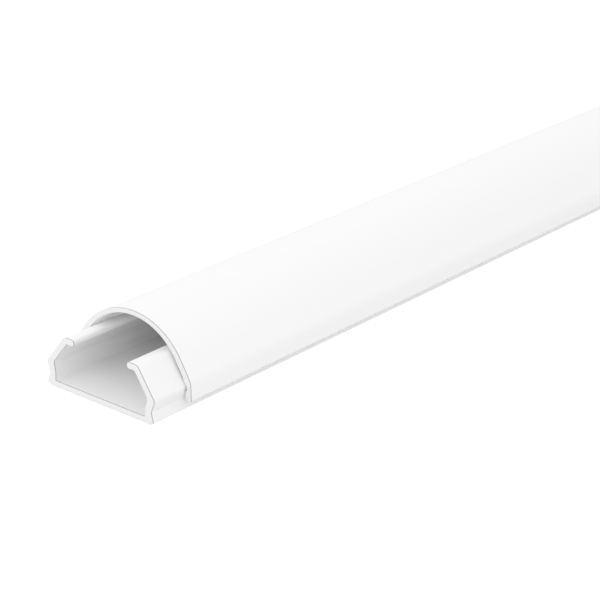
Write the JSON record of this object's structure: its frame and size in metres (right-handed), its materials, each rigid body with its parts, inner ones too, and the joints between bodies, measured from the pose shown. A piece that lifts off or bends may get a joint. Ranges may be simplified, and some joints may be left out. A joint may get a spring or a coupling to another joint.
{
  "type": "cable cover",
  "caption": "Half-round two-piece cable trunking: self-adhesive base channel with cable-retaining hooks and an arched cover that clips over its shoulders.",
  "frame": {"origin": "middle of the adhesive tape's underside, on the wall or floor that the base sticks to", "axes": "+X across the channel, +Y along its length away from the end where the base stands out of the cover, +Z out of the wall, up as stored"},
  "size_m": [0.051, 1.015, 0.028],
  "materials": {
    "white_base": "satin white extruded PVC",
    "white_cover": "smooth semi-gloss white extruded PVC",
    "tan_tape": "pale tan double-sided foam tape"
  },
  "bodies": {
    "root": {"base_channel": "white_base", "cover": "white_cover", "adhesive_tape": "tan_tape"}
  },
  "joints": []
}
